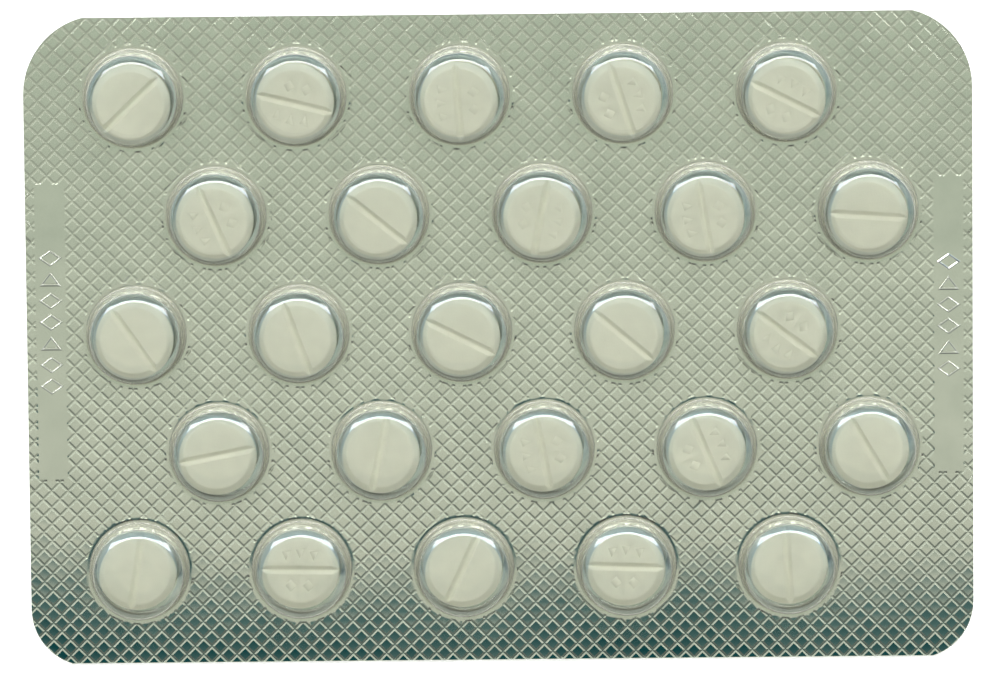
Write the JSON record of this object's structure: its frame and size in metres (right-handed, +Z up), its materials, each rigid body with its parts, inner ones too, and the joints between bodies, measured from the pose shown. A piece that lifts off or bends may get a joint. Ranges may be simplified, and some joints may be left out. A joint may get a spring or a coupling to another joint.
{
  "type": "pill blister pack",
  "caption": "Push-through blister pack: a clear formed film with staggered round pockets, each holding a scored tablet, sealed to a flat aluminium foil lid.",
  "frame": {"origin": "centre of the foil lid's underside, which the pack lies on", "axes": "+X along the long side, +Y towards the edge with the larger corner radii, +Z up out of the pockets"},
  "size_m": [0.1024, 0.0706, 0.004],
  "materials": {
    "clear_film": "clear glossy formed film",
    "foil": "bright foil with a knurled seal",
    "tablet": "matt pressed powder, off-white"
  },
  "bodies": {
    "root": {"blister_film": "clear_film", "lidding_foil": "foil", "tablet_r1c1": "tablet", "tablet_r1c2": "tablet", "tablet_r1c3": "tablet", "tablet_r1c4": "tablet", "tablet_r1c5": "tablet", "tablet_r2c1": "tablet", "tablet_r2c2": "tablet", "tablet_r2c3": "tablet", "tablet_r2c4": "tablet", "tablet_r2c5": "tablet", "tablet_r3c1": "tablet", "tablet_r3c2": "tablet", "tablet_r3c3": "tablet", "tablet_r3c4": "tablet", "tablet_r3c5": "tablet", "tablet_r4c1": "tablet", "tablet_r4c2": "tablet", "tablet_r4c3": "tablet", "tablet_r4c4": "tablet", "tablet_r4c5": "tablet", "tablet_r5c1": "tablet", "tablet_r5c2": "tablet", "tablet_r5c3": "tablet", "tablet_r5c4": "tablet", "tablet_r5c5": "tablet"}
  },
  "joints": []
}
